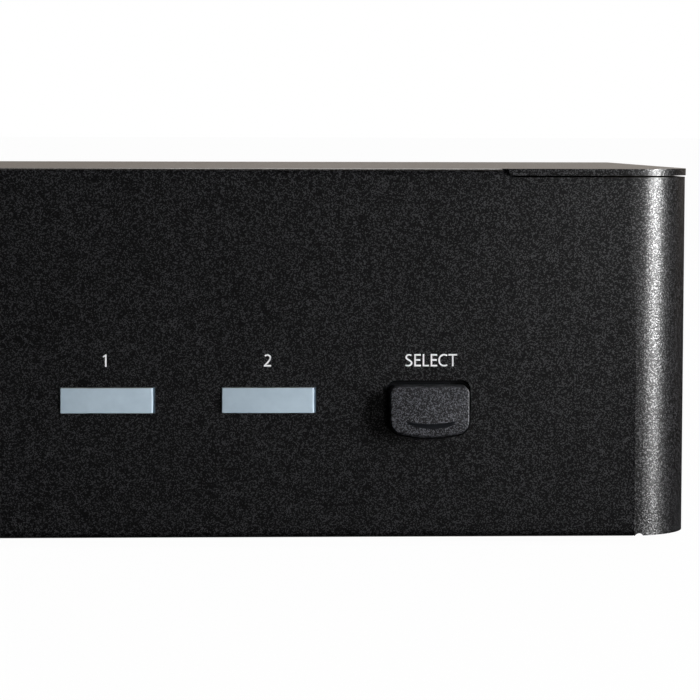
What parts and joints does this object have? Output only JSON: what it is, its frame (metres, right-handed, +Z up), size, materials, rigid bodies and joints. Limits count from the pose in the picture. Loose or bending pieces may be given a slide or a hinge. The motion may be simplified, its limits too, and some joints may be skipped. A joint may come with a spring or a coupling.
{
  "type": "kvm switch",
  "caption": "Desktop keyboard, video and mouse switch: black folded sheet-metal box, select button and indicator windows on the front, rows of sockets on the back.",
  "frame": {"origin": "middle of the overall box at its foot, where the feet stand", "axes": "+Z up, -Y out of the front with the button, +X to the right as seen from the front"},
  "size_m": [0.224, 0.119, 0.067],
  "materials": {
    "case_paint": "fine textured black powder coat, satin",
    "foot_rubber": "matt moulded rubber",
    "screw_steel": "black-plated steel",
    "spacer_brass": "nickel-dulled turned brass",
    "button_plastic": "fine spark-eroded grain, dark grey",
    "window_plastic": "milky blue-grey light guide, satin",
    "circuit_board": "green solder resist",
    "led_epoxy": "clear epoxy",
    "black_plastic": "glass-filled black nylon",
    "ribbon_grey": "ribbed grey vinyl",
    "socket_steel": "nickel-plated sheet",
    "chip_epoxy": "moulded epoxy",
    "sink_aluminium": "extruded, clear anodised",
    "can_sleeve": "shrunk vinyl sleeve"
  },
  "bodies": {
    "case": {"base_tray": "case_paint", "board_link_plug": "black_plastic", "board_link_receptacle": "black_plastic", "cover": "case_paint", "cover_screw_1": "screw_steel", "cover_screw_2": "screw_steel", "cover_screw_3": "screw_steel", "cover_screw_4": "screw_steel", "desk_audio_jacks": "black_plastic", "desk_usb_sockets": "socket_steel", "foot_1": "foot_rubber", "foot_2": "foot_rubber", "foot_3": "foot_rubber", "foot_4": "foot_rubber", "front_board": "circuit_board", "front_board_header": "black_plastic", "front_board_screw_1": "screw_steel", "front_board_screw_2": "screw_steel", "heatsink_1": "sink_aluminium", "heatsink_2": "sink_aluminium", "hub_chip": "chip_epoxy", "indicator_window_1": "window_plastic", "indicator_window_2": "window_plastic", "key_switch_body": "black_plastic", "led_1": "led_epoxy", "led_2": "led_epoxy", "main_board": "circuit_board", "main_board_header": "black_plastic", "monitor_socket_a": "socket_steel", "monitor_socket_b": "socket_steel", "pc_1_audio_jacks": "black_plastic", "pc_1_usb_socket": "socket_steel", "pc_1_video_socket_a": "socket_steel", "pc_1_video_socket_b": "socket_steel", "pc_2_audio_jacks": "black_plastic", "pc_2_usb_socket": "socket_steel", "pc_2_video_socket_a": "socket_steel", "pc_2_video_socket_b": "socket_steel", "power_jack": "black_plastic", "ribbon_cable": "ribbon_grey", "spacer_1": "spacer_brass", "spacer_2": "spacer_brass", "spacer_3": "spacer_brass", "spacer_4": "spacer_brass", "standoff_1": "spacer_brass", "standoff_2": "spacer_brass", "standoff_3": "spacer_brass", "standoff_4": "spacer_brass", "supply_capacitor": "can_sleeve", "video_board": "circuit_board", "video_board_screw_1": "screw_steel", "video_board_screw_2": "screw_steel", "video_board_screw_3": "screw_steel", "video_board_screw_4": "screw_steel", "video_chip_1": "chip_epoxy", "video_chip_2": "chip_epoxy"},
    "select_button": {"select_button": "button_plastic"},
    "key_switch_plunger": {"key_switch_plunger": "button_plastic"}
  },
  "joints": [
    {"name": "select_press", "type": "slide", "parent": "case", "child": "select_button", "axis": [0, 1, 0], "range_m": [0, 0.0006], "stiffness_N_per_m": 1500},
    {"name": "key_switch_press", "type": "slide", "parent": "case", "child": "key_switch_plunger", "axis": [0, 1, 0], "range_m": [0, 0.0006]}
  ],
  "couplings": [
    {"joint": "key_switch_press", "follows": "select_press", "ratio": 1}
  ]
}
